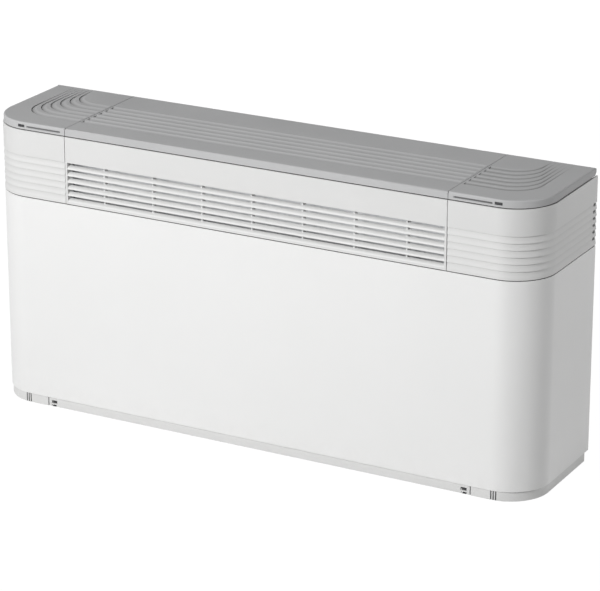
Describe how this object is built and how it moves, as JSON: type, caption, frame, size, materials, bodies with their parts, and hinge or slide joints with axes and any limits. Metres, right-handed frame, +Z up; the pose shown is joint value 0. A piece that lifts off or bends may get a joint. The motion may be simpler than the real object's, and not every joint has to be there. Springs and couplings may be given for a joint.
{
  "type": "fan coil unit",
  "caption": "White floor or wall cabinet with round front corners, louvred front and grey louvred top; fans push air through a finned water coil; lids swing up and the filter slides out.",
  "frame": {"origin": "middle of the underside of the plinth", "axes": "+X along the width to the right, +Y to the wall, +Z up"},
  "size_m": [0.98, 0.22, 0.486],
  "materials": {
    "white_paint": "satin powder coat",
    "white_plastic": "fine grained moulding",
    "grey_plastic": "fine grained moulding",
    "galvanised_sheet": "zinc coated, spangled",
    "bright_steel": "ground",
    "aluminium_sheet": "mill finish",
    "copper_tube": "drawn copper",
    "brass_fitting": "turned",
    "black_plastic": "moulded",
    "motor_paint": "enamel",
    "mount_rubber": "matt",
    "filter_fabric": "woven mesh",
    "box_plastic": "moulded"
  },
  "bodies": {
    "cabinet": {"front_panel": "white_paint", "left_end_cover": "white_plastic", "right_end_cover": "white_plastic", "front_grille": "white_plastic", "left_plinth": "white_plastic", "right_plinth": "white_plastic", "top_grille": "grey_plastic", "rear_panel": "galvanised_sheet", "cross_rails": "galvanised_sheet", "left_side_plate": "galvanised_sheet", "right_side_plate": "galvanised_sheet", "fan_deck": "galvanised_sheet", "coil_end_plates": "galvanised_sheet", "motor_bracket": "galvanised_sheet", "left_hinge_pin": "bright_steel", "right_hinge_pin": "bright_steel", "cover_screws": "bright_steel", "coil_fins": "aluminium_sheet", "coil_circuit": "copper_tube", "water_sockets": "brass_fitting", "air_vent": "brass_fitting", "drip_tray": "black_plastic", "left_fan_housing": "black_plastic", "right_fan_housing": "black_plastic", "control_plate": "black_plastic", "cable_gland": "black_plastic", "motor": "motor_paint", "motor_rings": "mount_rubber", "terminal_box": "box_plastic", "terminal_cover": "box_plastic"},
    "left_lid": {"left_lid": "grey_plastic"},
    "right_lid": {"right_lid": "grey_plastic"},
    "fan_rotor": {"left_impeller": "black_plastic", "right_impeller": "black_plastic", "motor_shaft": "bright_steel"},
    "diverter": {"air_diverter": "aluminium_sheet", "diverter_lever": "black_plastic"},
    "filter": {"filter_frame": "white_plastic", "filter_mesh": "filter_fabric"},
    "left_latch": {"left_latch": "white_plastic"},
    "right_latch": {"right_latch": "white_plastic"},
    "temperature_knob": {"temperature_knob": "grey_plastic"},
    "speed_knob": {"speed_knob": "grey_plastic"}
  },
  "joints": [
    {"name": "left_lid_hinge", "type": "hinge", "parent": "cabinet", "child": "left_lid", "pos_m": [-0.415, 0.1015, 0.478], "axis": [-1, 0, 0], "range_deg": [0, 80]},
    {"name": "right_lid_hinge", "type": "hinge", "parent": "cabinet", "child": "right_lid", "pos_m": [0.415, 0.1015, 0.478], "axis": [-1, 0, 0], "range_deg": [0, 80]},
    {"name": "fan_spin", "type": "hinge", "parent": "cabinet", "child": "fan_rotor", "pos_m": [0, -0.008, 0.108], "axis": [1, 0, 0], "continuous": true},
    {"name": "diverter_turn", "type": "hinge", "parent": "cabinet", "child": "diverter", "pos_m": [0, -0.078, 0.446], "axis": [1, 0, 0], "range_deg": [0, 80]},
    {"name": "filter_slide", "type": "slide", "parent": "cabinet", "child": "filter", "axis": [0, -1, 0], "range_m": [0, 0.19]},
    {"name": "left_latch_slide", "type": "slide", "parent": "filter", "child": "left_latch", "axis": [0, 0, 1], "range_m": [0, 0.002], "stiffness_N_per_m": 400},
    {"name": "right_latch_slide", "type": "slide", "parent": "filter", "child": "right_latch", "axis": [0, 0, 1], "range_m": [0, 0.002], "stiffness_N_per_m": 400},
    {"name": "temperature_turn", "type": "hinge", "parent": "cabinet", "child": "temperature_knob", "pos_m": [0.41, 0, 0.465], "axis": [0, 0, 1], "range_deg": [-135, 135]},
    {"name": "speed_turn", "type": "hinge", "parent": "cabinet", "child": "speed_knob", "pos_m": [0.456, 0, 0.465], "axis": [0, 0, 1], "range_deg": [-90, 90]}
  ]
}
